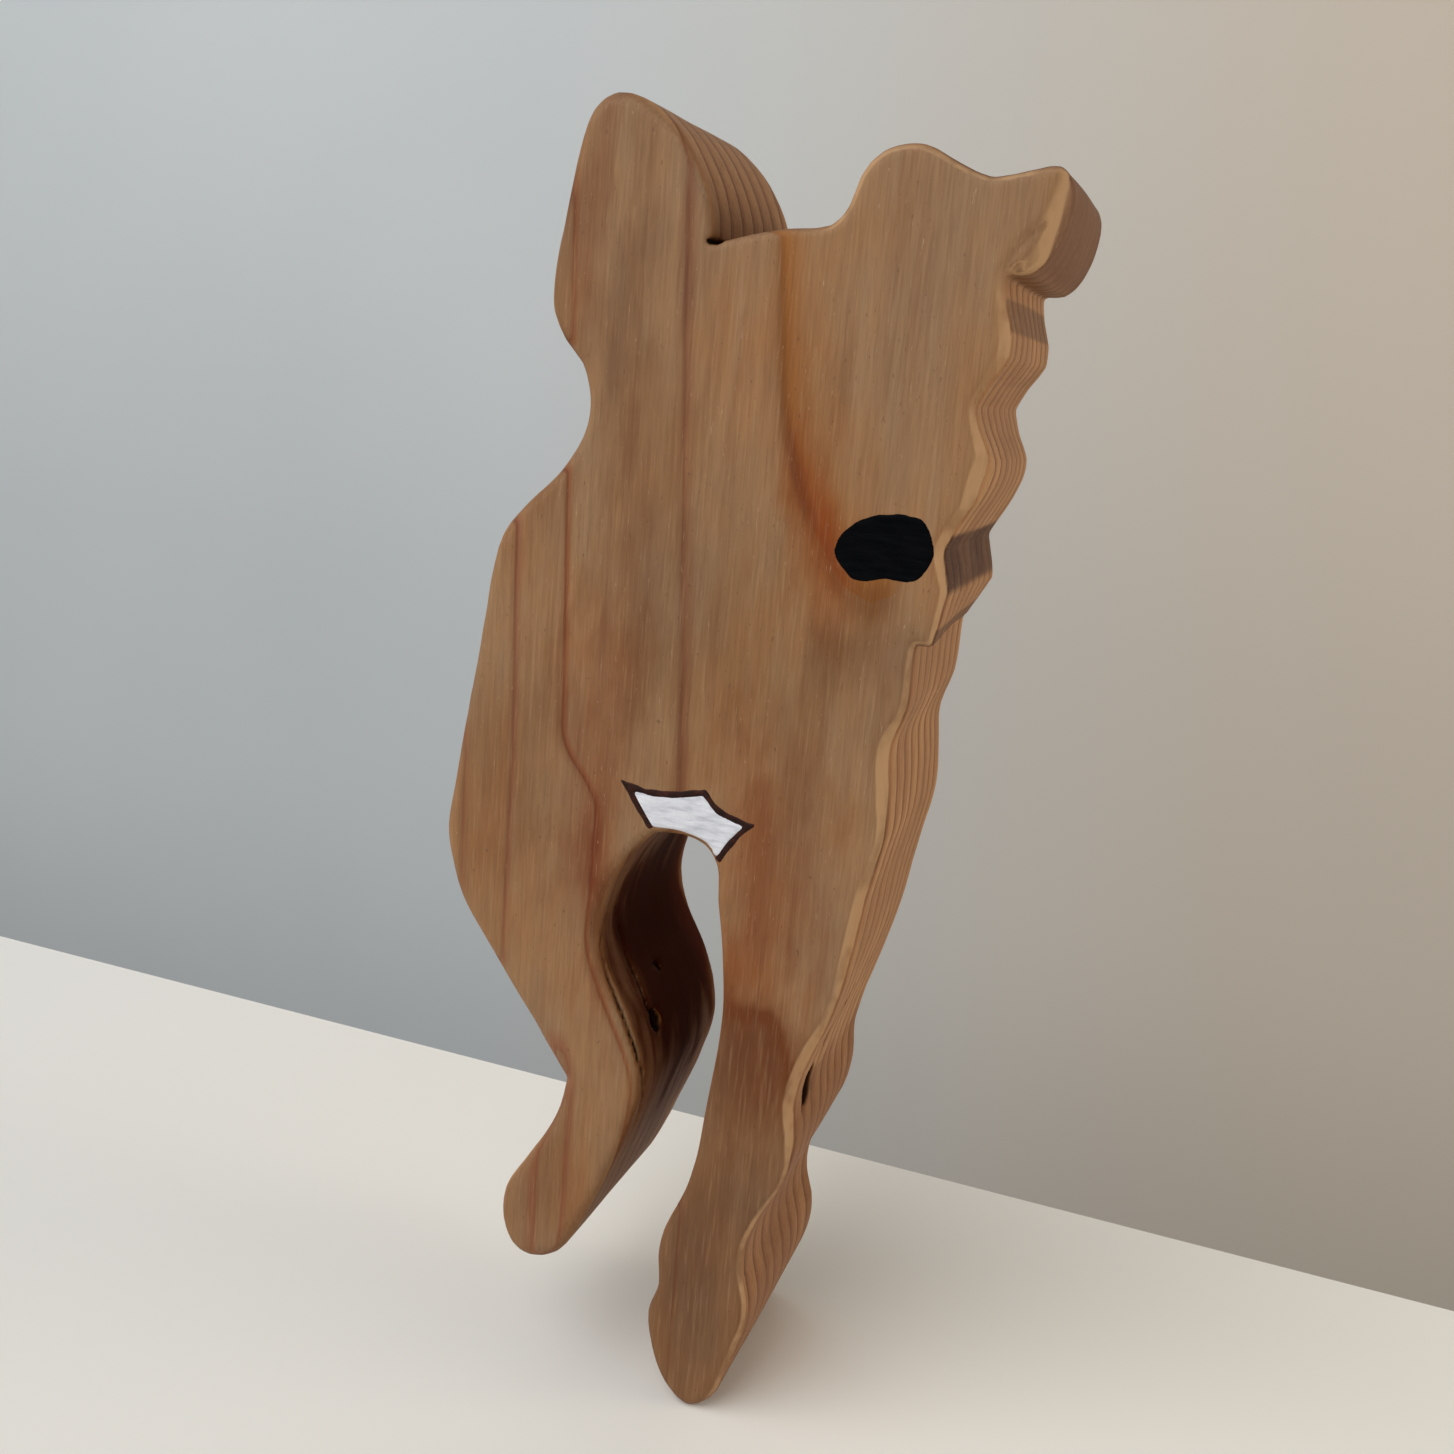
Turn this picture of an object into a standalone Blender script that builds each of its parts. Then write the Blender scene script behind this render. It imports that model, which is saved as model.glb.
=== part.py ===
"""Carved wooden figurine: a standing figure sawn from one softwood board, with two painted marks.

Metres, +Z up. The figure's front looks along -Y, its flat back is at +Y, and it stands on the tip of
its longer leg, with the origin under the middle of its outline.

The pieces are the sawn figure, a white paint film above the gap between the legs, the dark painted
line round three sides of that film, and a black paint film near the right-hand edge.
"""

import math

import bmesh
import bpy

# Driving dimensions. Lengths are metres; outline points are millimetres and go through MM.
MM = 0.001
BOARD_THICKNESS = 28.0 * MM
EDGE_RADIUS = 1.5 * MM
EDGE_STEPS = 3
PAINT_THICKNESS = 0.3 * MM
PAINT_GAP = 0.3 * MM
PAINTED_LINE_WIDTH = 0.7 * MM
BODY_STEP = 1.5 * MM
PAINT_STEP = 0.8 * MM
SMOOTH_ANGLE = math.radians(40.0)

# The overall depth, paint included, is centred on the origin.
DEPTH = BOARD_THICKNESS + PAINT_GAP + PAINT_THICKNESS
BACK_Y = DEPTH / 2
FRONT_Y = BACK_Y - BOARD_THICKNESS
PAINT_BACK_Y = FRONT_Y - PAINT_GAP
PAINT_FRONT_Y = PAINT_BACK_Y - PAINT_THICKNESS

# The silhouette, counter-clockwise as seen from the front, as (x, z) in millimetres. Each stretch is
# one smooth curve, and stretches meet in the corners that the saw left.
ARCH_AND_LONG_LEG = [
    (-5.4, 70.9), (-1.9, 71.3), (0.9, 70.6), (2.4, 68.6), (2.8, 64.6), (3.9, 58.0), (4.5, 51.6),
    (4.1, 45.0), (3.4, 38.0), (2.8, 32.0), (1.6, 27.2), (-0.2, 22.6), (-0.8, 18.6), (-0.4, 15.0),
    (-1.4, 11.2), (-0.6, 6.8), (1.6, 2.0), (4.6, 0.0), (7.4, 2.0), (9.4, 6.8), (11.0, 12.6),
    (10.9, 16.4), (9.9, 19.8), (10.0, 23.4), (11.6, 28.0), (13.7, 32.8), (14.5, 37.4), (14.1, 42.2),
    (15.2, 47.6), (17.0, 53.4), (18.5, 60.0), (19.6, 68.0), (20.9, 75.4), (20.7, 80.6),
    (20.3, 85.2), (21.5, 89.4), (21.6, 96.2),
]
SPUR_UNDERSIDE = [(21.6, 96.2), (24.2, 97.8)]
SPUR_SIDE = [(24.2, 97.8), (24.4, 101.4), (23.4, 106.0)]
LOWER_SCALLOP = [(23.4, 106.0), (25.0, 109.2), (26.5, 112.4), (26.8, 115.0), (25.6, 117.6), (24.8, 120.2)]
UPPER_SCALLOP = [(24.8, 120.2), (26.0, 122.6), (27.7, 125.2), (27.6, 127.4), (26.7, 130.2), (26.3, 132.6)]
FIST_AND_HEAD = [
    (26.3, 132.6), (28.6, 132.8), (30.4, 135.0), (31.3, 138.2), (31.5, 141.0), (30.2, 142.9),
    (27.4, 142.4), (23.8, 141.6), (20.6, 142.6), (16.8, 144.3), (13.0, 143.6), (10.8, 141.2), (9.9, 138.4),
    (8.2, 136.5), (4.0, 136.0), (0.0, 135.1), (-3.8, 134.2),
]
RAISED_ARM = [
    (-3.8, 134.2), (-4.1, 137.2), (-5.8, 141.2), (-9.1, 145.4), (-12.7, 147.8), (-15.8, 148.3),
    (-18.1, 146.7), (-19.5, 142.6), (-20.7, 136.0), (-21.6, 130.0), (-21.5, 126.2), (-19.9, 123.4),
    (-17.6, 121.2), (-16.4, 117.4), (-17.0, 113.6), (-19.6, 109.6), (-23.4, 105.6), (-26.1, 102.0),
    (-27.3, 97.0),
]
# One straight saw cut down the outside of the hip.
HIP = [(-27.3, 97.0), (-31.3, 70.0)]
OUTER_THIGH = [
    (-31.3, 70.0), (-31.5, 67.3), (-31.1, 64.4), (-29.2, 58.8), (-25.0, 52.8), (-19.4, 45.6),
    (-14.0, 38.8),
]
SHORT_LEG = [
    (-14.0, 38.8), (-14.7, 34.9), (-16.8, 30.2), (-19.6, 25.6), (-21.5, 22.0), (-21.6, 17.8),
    (-20.2, 14.6), (-17.4, 13.5), (-14.0, 15.0), (-11.4, 19.2), (-8.5, 26.4), (-6.3, 32.6),
    (-4.9, 38.6), (-5.2, 42.4), (-7.1, 47.8), (-9.9, 52.6), (-11.3, 57.4), (-10.5, 62.6),
    (-8.0, 67.8), (-5.4, 70.9),
]
SILHOUETTE = [
    ARCH_AND_LONG_LEG, SPUR_UNDERSIDE, SPUR_SIDE, LOWER_SCALLOP, UPPER_SCALLOP, FIST_AND_HEAD,
    RAISED_ARM, HIP, OUTER_THIGH, SHORT_LEG,
]

# The white film: its lower edge runs along the arch, and the dark line follows its other edges,
# which go from the left end of the arch over the top to the point beside the long leg.
WHITE_LEFT_EDGE = [(-5.5, 71.6), (-7.0, 73.6), (-8.8, 76.1)]
WHITE_TOP_EDGE = [(-8.8, 76.1), (-6.1, 75.7), (-2.8, 76.0), (0.4, 76.8)]
WHITE_TOP_RIGHT_EDGE = [(0.4, 76.8), (2.2, 75.1), (5.8, 74.0)]
WHITE_RIGHT_EDGE = [(5.8, 74.0), (4.1, 71.9), (2.6, 69.4)]
WHITE_LOWER_EDGE = [(2.6, 69.4), (1.0, 71.0), (-1.8, 71.7), (-5.5, 71.6)]
LINED_EDGES = [WHITE_LEFT_EDGE, WHITE_TOP_EDGE, WHITE_TOP_RIGHT_EDGE, WHITE_RIGHT_EDGE]

BLACK_FILM = [
    (12.3, 104.9), (13.2, 103.3), (15.2, 102.1), (18.2, 102.7), (20.8, 102.8), (22.3, 104.7),
    (22.1, 107.2), (20.8, 108.9), (18.2, 109.1), (15.0, 108.3), (13.0, 106.7),
]

# Linear colours with roughness.
OILED_SOFTWOOD = (0.275, 0.145, 0.072, 0.5)
WHITE_PAINT = (0.70, 0.73, 0.78, 0.6)
DARK_BROWN_PAINT = (0.020, 0.010, 0.008, 0.5)
BLACK_PAINT = (0.010, 0.011, 0.013, 0.7)


def clear_scene():
    for item in list(bpy.data.objects):
        bpy.data.objects.remove(item, do_unlink=True)


def in_metres(points):
    return [(x * MM, z * MM) for x, z in points]


def blend(a, b, time_a, time_b, time):
    """The point at a time on the straight line that passes a at time_a and b at time_b."""
    share = (time - time_a) / (time_b - time_a)
    return tuple(p + (q - p) * share for p, q in zip(a, b))


def curve_piece(before, start, end, after, step):
    """Points from start up to, not including, end on the centripetal Catmull-Rom curve."""
    times = [0.0]
    for a, b in ((before, start), (start, end), (end, after)):
        times.append(times[-1] + math.sqrt(math.dist(a, b)))
    t0, t1, t2, t3 = times
    count = max(1, round(math.dist(start, end) / step))
    found = []
    for index in range(count):
        t = t1 + (t2 - t1) * index / count
        a1 = blend(before, start, t0, t1, t)
        a2 = blend(start, end, t1, t2, t)
        a3 = blend(end, after, t2, t3, t)
        b1 = blend(a1, a2, t0, t2, t)
        b2 = blend(a2, a3, t1, t3, t)
        found.append(blend(b1, b2, t1, t2, t))
    return found


def mirrored_end(inner, end):
    """The point past an open curve's end, so that the curve leaves its end straight."""
    return tuple(2 * e - i for e, i in zip(end, inner))


def open_curve(points, step):
    """A smooth curve from the first point up to, not including, the last."""
    padded = [mirrored_end(points[1], points[0]), *points, mirrored_end(points[-2], points[-1])]
    return [p for i in range(len(points) - 1) for p in curve_piece(*padded[i:i + 4], step)]


def closed_curve(points, step):
    """A smooth ring through all the points."""
    n = len(points)
    return [
        p for i in range(n)
        for p in curve_piece(points[i - 1], points[i], points[(i + 1) % n], points[(i + 2) % n], step)
    ]


def ring_of(stretches, step):
    """A ring of smooth stretches, in millimetres, that meet in corners."""
    return [p for stretch in stretches for p in open_curve(in_metres(stretch), step)]


def unit_normal(a, b):
    """The left-hand normal of the way from a to b, which points into a counter-clockwise ring."""
    length = math.dist(a, b)
    return (a[1] - b[1]) / length, (b[0] - a[0]) / length


def corner_shift(normal_a, normal_b):
    """How a corner moves when both its edges move one unit along their normals."""
    scale = 1 + normal_a[0] * normal_b[0] + normal_a[1] * normal_b[1]
    return (normal_a[0] + normal_b[0]) / scale, (normal_a[1] + normal_b[1]) / scale


def inset(ring, distance):
    """The ring with every edge moved inwards by a distance, its corners mitred."""
    n = len(ring)
    moved = []
    for i, (x, z) in enumerate(ring):
        normal_a = unit_normal(ring[i - 1], ring[i])
        normal_b = unit_normal(ring[i], ring[(i + 1) % n])
        dx, dz = corner_shift(normal_a, normal_b)
        moved.append((x + dx * distance, z + dz * distance))
    return moved


def band_along(path, width):
    """The ring round an open path, half the width to each side."""
    normals = [unit_normal(a, b) for a, b in zip(path, path[1:])]
    left, right = [], []
    for (x, z), normal_a, normal_b in zip(path, normals[:1] + normals, normals + normals[-1:]):
        dx, dz = corner_shift(normal_a, normal_b)
        left.append((x + dx * width / 2, z + dz * width / 2))
        right.append((x - dx * width / 2, z - dz * width / 2))
    return right + left[::-1]


def rounded_sections(ring, front, back, radius, steps):
    """(y, ring) sections of a board whose front and back edges are rounded."""
    quarter = [math.pi / 2 * i / steps for i in range(steps + 1)]
    front_side = [
        (front + radius * (1 - math.cos(a)), inset(ring, radius * (1 - math.sin(a)))) for a in quarter
    ]
    back_side = [(front + back - y, section) for y, section in reversed(front_side)]
    return front_side + back_side


def material(name, red_green_blue_roughness):
    *colour, roughness = red_green_blue_roughness
    made = bpy.data.materials.new(name)
    made.use_nodes = True
    made.diffuse_color = (*colour, 1.0)
    shader = made.node_tree.nodes["Principled BSDF"]
    shader.inputs["Base Color"].default_value = (*colour, 1.0)
    shader.inputs["Roughness"].default_value = roughness
    shader.inputs["Metallic"].default_value = 0.0
    return made


def solid(name, sections, finish):
    """A closed object that joins (y, ring) sections from front to back, with flat ends."""
    bm = bmesh.new()
    rings = [[bm.verts.new((x, y, z)) for x, z in ring] for y, ring in sections]
    bm.faces.new(rings[0])
    bm.faces.new(reversed(rings[-1]))
    for near, far in zip(rings, rings[1:]):
        for i in range(len(near)):
            bm.faces.new((near[i - 1], far[i - 1], far[i], near[i]))
    bmesh.ops.recalc_face_normals(bm, faces=bm.faces)
    mesh = bpy.data.meshes.new(name)
    bm.to_mesh(mesh)
    bm.free()
    mesh.shade_smooth()
    mesh.set_sharp_from_angle(angle=SMOOTH_ANGLE)
    mesh.materials.append(material(name, finish))
    made = bpy.data.objects.new(name, mesh)
    bpy.context.scene.collection.objects.link(made)
    return made


def figure_body():
    """The sawn board, its front and back edges sanded round."""
    ring = ring_of(SILHOUETTE, BODY_STEP)
    sections = rounded_sections(ring, FRONT_Y, BACK_Y, EDGE_RADIUS, EDGE_STEPS)
    return solid("figure_body", sections, OILED_SOFTWOOD)


def paint_film(name, ring, finish):
    return solid(name, [(PAINT_FRONT_Y, ring), (PAINT_BACK_Y, ring)], finish)


def white_patch():
    """The white film, clear of the dark line that lies on its edges."""
    ring = ring_of(LINED_EDGES + [WHITE_LOWER_EDGE], PAINT_STEP)[::-1]
    return paint_film("white_paint_patch", inset(ring, PAINTED_LINE_WIDTH / 2 + PAINT_GAP), WHITE_PAINT)


def dark_line():
    """One brush line along the white film's left, top and right edges."""
    path = ring_of(LINED_EDGES, PAINT_STEP) + in_metres(WHITE_RIGHT_EDGE[-1:])
    return paint_film("dark_paint_line", band_along(path, PAINTED_LINE_WIDTH), DARK_BROWN_PAINT)


def black_spot():
    return paint_film("black_paint_spot", closed_curve(in_metres(BLACK_FILM), PAINT_STEP), BLACK_PAINT)


clear_scene()
figure_body()
white_patch()
dark_line()
black_spot()
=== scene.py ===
"""Looks of the carved wooden figurine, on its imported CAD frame.

The CAD nodes stay as they are and set where everything goes. Each is replaced by a finer piece: the
sawn body with its worn edges, facets, kerfs and knot holes, and three brushed paint films that
follow the wood. Metres, +Z up, front towards -Y; shapes are worked out in millimetres.
"""

import math

import bpy
import numpy as np
from mathutils import Matrix, Vector


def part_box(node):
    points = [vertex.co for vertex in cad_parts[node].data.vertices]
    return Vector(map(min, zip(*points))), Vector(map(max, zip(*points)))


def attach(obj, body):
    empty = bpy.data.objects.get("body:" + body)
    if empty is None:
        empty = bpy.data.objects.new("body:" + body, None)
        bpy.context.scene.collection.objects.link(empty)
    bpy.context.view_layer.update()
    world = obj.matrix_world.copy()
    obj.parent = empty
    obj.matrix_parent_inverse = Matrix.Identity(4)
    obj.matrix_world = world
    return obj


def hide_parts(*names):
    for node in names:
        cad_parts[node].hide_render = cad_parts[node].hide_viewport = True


MM = 0.001

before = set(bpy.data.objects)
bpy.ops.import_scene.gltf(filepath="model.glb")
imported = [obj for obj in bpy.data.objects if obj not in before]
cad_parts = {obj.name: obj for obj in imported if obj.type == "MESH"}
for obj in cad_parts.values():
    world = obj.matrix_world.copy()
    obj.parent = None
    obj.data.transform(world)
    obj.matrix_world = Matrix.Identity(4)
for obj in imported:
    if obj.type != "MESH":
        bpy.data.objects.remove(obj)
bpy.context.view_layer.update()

body_low, body_high = (np.array(corner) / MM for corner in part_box("figure_body"))
FRONT = body_low[1]
BACK = body_high[1]
MIDDLE = (FRONT + BACK) / 2
HALF_THICKNESS = (BACK - FRONT) / 2
CAD_EDGE = 1.5

# Cells of the meshes and maps, and other lengths of the shapes, are in millimetres.
BODY_CELL = 0.46
MAP_CELL = 0.25
MAP_MARGIN = 4.0
MAP_EASE = 2
SAME_DEPTH = 0.01
FAR_INSIDE = -9
SEED = 7

# ---------------------------------------------------------------------------------------- outlines


def outline(node, depth):
    """A CAD node's outline where it crosses one depth, as edges ((x, z), (x, z)) in millimetres."""
    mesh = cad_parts[node].data
    spot = [(v.co.x / MM, v.co.z / MM) for v in mesh.vertices]
    y = [v.co.y / MM for v in mesh.vertices]
    edges = []
    for face in mesh.polygons:
        ring = list(face.vertices)
        if max(y[i] for i in ring) < depth + SAME_DEPTH:
            continue
        for a, b in zip(ring, ring[1:] + ring[:1]):
            if abs(y[a] - depth) < SAME_DEPTH and abs(y[b] - depth) < SAME_DEPTH:
                edges.append((spot[a], spot[b]))
    return edges


def distance_to(edges, x, z):
    """Signed distance in millimetres to a closed outline, negative inside."""
    nearest = np.full(x.shape, 1e9)
    inside = np.zeros(x.shape, bool)
    for (ax, az), (bx, bz) in edges:
        ex, ez = bx - ax, bz - az
        along = ((x - ax) * ex + (z - az) * ez) / max(ex * ex + ez * ez, 1e-12)
        along = np.clip(along, 0, 1)
        nearest = np.minimum(nearest, (x - ax - along * ex) ** 2 + (z - az - along * ez) ** 2)
        if az != bz:
            inside ^= ((az > z) != (bz > z)) & (x < ax + (z - az) * ex / ez)
    return np.where(inside, -1, 1) * np.sqrt(nearest)


def blurred(values, times):
    """The map with its sharp creases eased, by repeated averaging with its neighbours."""
    for _ in range(times):
        for axis in (0, 1):
            padded = np.pad(values, [(1, 1) if a == axis else (0, 0) for a in (0, 1)], mode="edge")
            n = values.shape[axis]
            parts = [np.take(padded, range(k, k + n), axis) for k in (0, 1, 2)]
            values = (parts[0] + 2 * parts[1] + parts[2]) / 4
    return values


class GridMap:
    """Values on a fine grid of x and z, read anywhere by interpolation."""

    def __init__(self, low, cell, values):
        self.low, self.cell, self.values = low, cell, values

    def __call__(self, x, z):
        found = []
        for value, low, count in zip((x, z), self.low, self.values.shape):
            place = np.clip((value - low) / self.cell, 0, count - 1.001)
            base = place.astype(int)
            found.append((base, place - base))
        (i, u), (k, w) = found
        v = self.values
        lower = v[i, k] * (1 - u) + v[i + 1, k] * u
        upper = v[i, k + 1] * (1 - u) + v[i + 1, k + 1] * u
        return lower * (1 - w) + upper * w


def distance_map(edges, cell, margin):
    """The signed distance to a closed outline, eased a little, as a map."""
    xs, zs = zip(*(start for start, _ in edges))
    low = (min(xs) - margin, min(zs) - margin)
    x = np.arange(low[0], max(xs) + margin + cell, cell)
    z = np.arange(low[1], max(zs) + margin + cell, cell)
    values = distance_to(edges, *np.meshgrid(x, z, indexing="ij"))
    return GridMap(low, cell, blurred(values, MAP_EASE))


LATTICE_SIZE = 32
LATTICE_SHIFT = 100.0
LATTICE = np.random.default_rng(SEED).uniform(-1, 1, (LATTICE_SIZE, LATTICE_SIZE, LATTICE_SIZE))


def waves(x, y, z, size):
    """Smooth noise between -1 and 1, with about one bump per size, a length along each axis."""
    cells = [np.asarray(p) / s + LATTICE_SHIFT for p, s in zip((x, y, z), size)]
    base = [np.floor(c).astype(int) for c in cells]
    ease = [(c - b) ** 2 * (3 - 2 * (c - b)) for c, b in zip(cells, base)]
    total = 0.0
    for corner in np.ndindex(2, 2, 2):
        weight = 1.0
        for e, side in zip(ease, corner):
            weight = weight * (e if side else 1 - e)
        i, j, k = ((b + side) % LATTICE_SIZE for b, side in zip(base, corner))
        total = total + weight * LATTICE[i, j, k]
    return total


# -------------------------------------------------------------------------------------- sawn body

silhouette = distance_map(outline("figure_body", FRONT + CAD_EDGE), MAP_CELL, MAP_MARGIN)

# How the painted side's edge is worn, as (x, z, radius, chamfer) at places round the outline. The
# knife and the sandpaper took more off the scalloped side than off the other.
EDGE_WEAR = [
    (-31.0, 69.0, 1.4, 0.0), (-27.0, 97.0, 1.2, 0.0), (-17.0, 115.0, 1.2, 0.0),
    (-21.5, 130.0, 1.3, 0.0), (-19.0, 146.0, 1.6, 0.0), (-12.0, 148.0, 1.6, 0.0),
    (-5.0, 140.0, 1.0, 0.3), (-3.0, 134.0, 0.5, 0.4), (4.0, 136.0, 0.8, 0.0),
    (10.0, 139.0, 1.0, 0.0), (14.0, 144.0, 1.1, 0.0), (22.0, 142.0, 0.9, 0.0),
    (29.0, 143.0, 0.9, 0.2), (31.3, 139.0, 0.7, 1.0), (30.0, 134.5, 1.4, 1.0),
    (26.5, 132.6, 0.6, 0.3), (26.6, 130.0, 0.6, 1.3), (27.7, 126.0, 0.6, 1.2),
    (24.8, 120.2, 0.6, 0.7), (26.8, 115.0, 0.7, 1.3), (24.5, 109.0, 0.7, 1.5),
    (23.3, 106.0, 0.7, 0.8), (24.3, 101.0, 0.6, 0.7), (23.5, 97.0, 0.5, 0.4),
    (21.3, 92.0, 0.5, 0.9), (20.4, 84.0, 0.4, 1.1), (20.8, 77.0, 0.5, 1.0),
    (19.0, 65.0, 0.5, 1.1), (17.0, 54.0, 0.4, 1.0), (15.0, 47.0, 0.4, 1.2),
    (14.2, 40.0, 0.4, 1.2), (13.4, 32.0, 0.3, 0.2), (11.0, 26.0, 0.5, 0.7),
    (10.0, 20.0, 0.5, 0.8), (11.0, 14.0, 0.6, 0.7), (8.0, 4.0, 1.0, 0.6),
    (4.6, 0.0, 1.2, 0.0), (0.0, 6.0, 1.1, 0.0), (-1.0, 18.0, 1.0, 0.0),
    (2.0, 28.0, 1.1, 0.0), (3.5, 40.0, 1.2, 0.0), (4.4, 52.0, 1.3, 0.0),
    (3.0, 64.0, 1.2, 0.0), (0.0, 71.0, 1.0, 0.0), (-6.0, 70.0, 1.2, 0.0),
    (-10.0, 64.0, 1.8, 0.5), (-11.0, 57.0, 2.0, 0.8), (-7.0, 48.0, 1.8, 0.6),
    (-5.0, 40.0, 1.5, 0.4), (-7.0, 30.0, 1.2, 0.0), (-14.0, 15.0, 1.4, 0.0),
    (-20.0, 15.0, 1.6, 0.0), (-21.5, 20.0, 1.5, 0.0), (-17.0, 30.0, 1.3, 0.0),
    (-14.0, 38.0, 1.0, 0.0), (-22.0, 50.0, 1.4, 0.0),
]
WEAR_REACH = 4.5
WEAR_CELL = 0.5
PLAIN_EDGE = 1.3
PLAIN_WEIGHT = 0.02
LEAST_CHAMFER = 0.05
BACK_EDGE = 1.4

# Cracks, holes and grooves, as (radius, shade reach, points). Each is cut by a round tool that follows
# its points, which are x, depth behind the front, z. Within the shade reach of the points the cut wood
# gets painted shade, darker deeper under the surface; a reach of 0 leaves it its own colour.
SHELF_KERF_X = -3.6
SHELF_KERF_Z = 134.3
SHELF_KERF_LENGTH = 0.5
# The kerf's section is a short level slot. Its points only say where in the board it is.
SHELF_KERF = (0.34, 0.544, [(-5.0, -1.0, SHELF_KERF_Z), (-5.0, 29.0, SHELF_KERF_Z)])
FIST_GROOVE = (0.35, 0.0, [(30.2, 0.0, 138.6), (27.2, 0.0, 135.5), (25.9, 0.0, 133.1)])
FIST_PIT = (0.55, 0.0, [(27.5, 0.0, 133.5), (27.3, 0.4, 133.3)])
LONG_LEG_VALLEY = (
    0.55, 0.0,
    [(16.4, 12.0, 53.0), (15.8, 7.0, 50.0), (14.5, 5.4, 43.5), (14.4, 4.0, 40.5)],
)
LONG_LEG_SLIT = (1.55, 1.76, [(14.6, 5.0, 44.2), (14.3, 5.3, 41.9)])
KNEE_CRACK = (
    0.24, 0.576,
    [
        (-11.2, 2.6, 59.5), (-11.1, 1.3, 55.9), (-9.8, 1.2, 52.0), (-7.0, 1.0, 47.0),
        (-5.6, 1.4, 43.0), (-5.1, 2.8, 37.5), (-6.6, 4.5, 31.0),
    ],
)
KNOT_CRACK = (
    0.3, 0.64,
    [(-11.2, 5.2, 59.5), (-11.1, 6.6, 56.0), (-9.3, 7.0, 51.2), (-6.9, 6.6, 47.0), (-6.1, 7.6, 45.3)],
)
KNOT_HOLE = (1.25, 1.84, [(-6.2, 7.6, 45.4), (-6.0, 8.0, 44.8)])
KNOT_PIT = (0.45, 0.8, [(-8.6, 13.0, 50.0), (-8.3, 13.4, 49.3)])
SCARS = [
    SHELF_KERF, FIST_GROOVE, FIST_PIT, LONG_LEG_VALLEY, LONG_LEG_SLIT, KNEE_CRACK, KNOT_CRACK,
    KNOT_HOLE, KNOT_PIT,
]
SCAR_MARGIN = 3
# Painted shade in a cut is at its darkest from this depth under the uncut surface.
FULL_SHADE_DEPTH = 0.45

# Under the spur the saw leaned over, so the overhang dies out towards the back. The lean is how far
# the cut goes in x for each millimetre down. For each one behind the front the lean grows by the
# twist and the whole cut moves by the drift.
SPUR_SIDE = 20
SPUR_TOP = (24.2, 101.5)
SPUR_LEAN = 0.157
SPUR_TWIST = 0.0139
SPUR_DRIFT = 0.0176
SPUR_FLOOR = 95.6
SPUR_END = 3

# The ledge under the spur: a rounded bar through the board that thins towards the back.
LEDGE_AT = (22.4, 97.0)
LEDGE_HALF_WIDTH = 0.9
LEDGE_RADIUS = 0.85
LEDGE_TAPER = 0.06

# The flat shaved off the fist's lower corner, and how far it reaches.
FIST_FLAT_AT = (27.9, 0.0, 135.4)
FIST_FLAT_FACES = (0.325, -0.913, -0.25)
FIST_FLAT_CENTRE = (28.6, 134.2)
FIST_FLAT_REACH = 3.2
FIST_FLAT_END = 1.5

# Heights of the saw's broad waves on the walls, what the scalloped side adds to them, and heights of
# the fine waves and of the planed faces' waves. The last two are shares of an edge's own size.
WALL_WAVES = 0.10
SCALLOP_WAVES = 0.07
SCALLOPS_FROM = 8
FINE_WAVES = 0.05
FACE_WAVES = 0.02
RADIUS_VARIES = 0.15
CHAMFER_VARIES = 0.25

# Creases between the surfaces are rounded over these reaches.
SHAVED_CREASE = 0.3
FLAT_CREASE = 0.4
SCAR_CREASE = 0.25


def smooth_max(a, b, reach):
    """The larger of two distances, with the crease between them rounded over a reach."""
    blend = np.maximum(reach - np.abs(a - b), 0) / reach
    return np.maximum(a, b) + blend * blend * reach / 4


def edge_wear(x, z):
    """The radius and the chamfer of the front edge near a place."""
    weight, radius, chamfer = PLAIN_WEIGHT, PLAIN_WEIGHT * PLAIN_EDGE, 0.0
    for px, pz, r, c in EDGE_WEAR:
        near = np.exp(-((x - px) ** 2 + (z - pz) ** 2) / WEAR_REACH**2)
        weight, radius, chamfer = weight + near, radius + near * r, chamfer + near * c
    return radius / weight, chamfer / weight


def wear_maps():
    """edge_wear over the whole figure, as a map of the radius and one of the chamfer."""
    size = [n * silhouette.cell for n in silhouette.values.shape]
    levels = [np.arange(a, a + n, WEAR_CELL) for a, n in zip(silhouette.low, size)]
    wear = edge_wear(*np.meshgrid(*levels, indexing="ij"))
    return [GridMap(silhouette.low, WEAR_CELL, values) for values in wear]


radius_map, chamfer_map = wear_maps()


def distance_to_path(points, x, y, z):
    """Distance to a path of (x, depth, z) points."""
    spot = np.stack(np.broadcast_arrays(x, y - FRONT, z), -1)
    nearest = np.full(spot.shape[:-1], 1e9)
    for a, b in zip(np.array(points), np.array(points)[1:]):
        along = np.clip((spot - a) @ (b - a) / max((b - a) @ (b - a), 1e-9), 0, 1)
        nearest = np.minimum(nearest, np.linalg.norm(spot - a - along[..., None] * (b - a), axis=-1))
    return nearest


def distance_to_scar(scar, x, y, z):
    """Distance to the middle of a crack, hole or groove."""
    if scar is SHELF_KERF:
        past_end = np.maximum(np.abs(x - SHELF_KERF_X) - SHELF_KERF_LENGTH, 0)
        return np.hypot(past_end, z - SHELF_KERF_Z)
    return distance_to_path(scar[2], x, y, z)


def spur_cut(x, depth, z):
    """Signed distance to the leaning saw cut under the spur, which gives way below its floor."""
    top_x, top_z = SPUR_TOP
    lean = SPUR_LEAN + SPUR_TWIST * depth
    past = x - top_x - SPUR_DRIFT * depth + lean * (top_z - z)
    return past / np.sqrt(1 + lean * lean) - SPUR_END * np.maximum(SPUR_FLOOR - z, 0)


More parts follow.
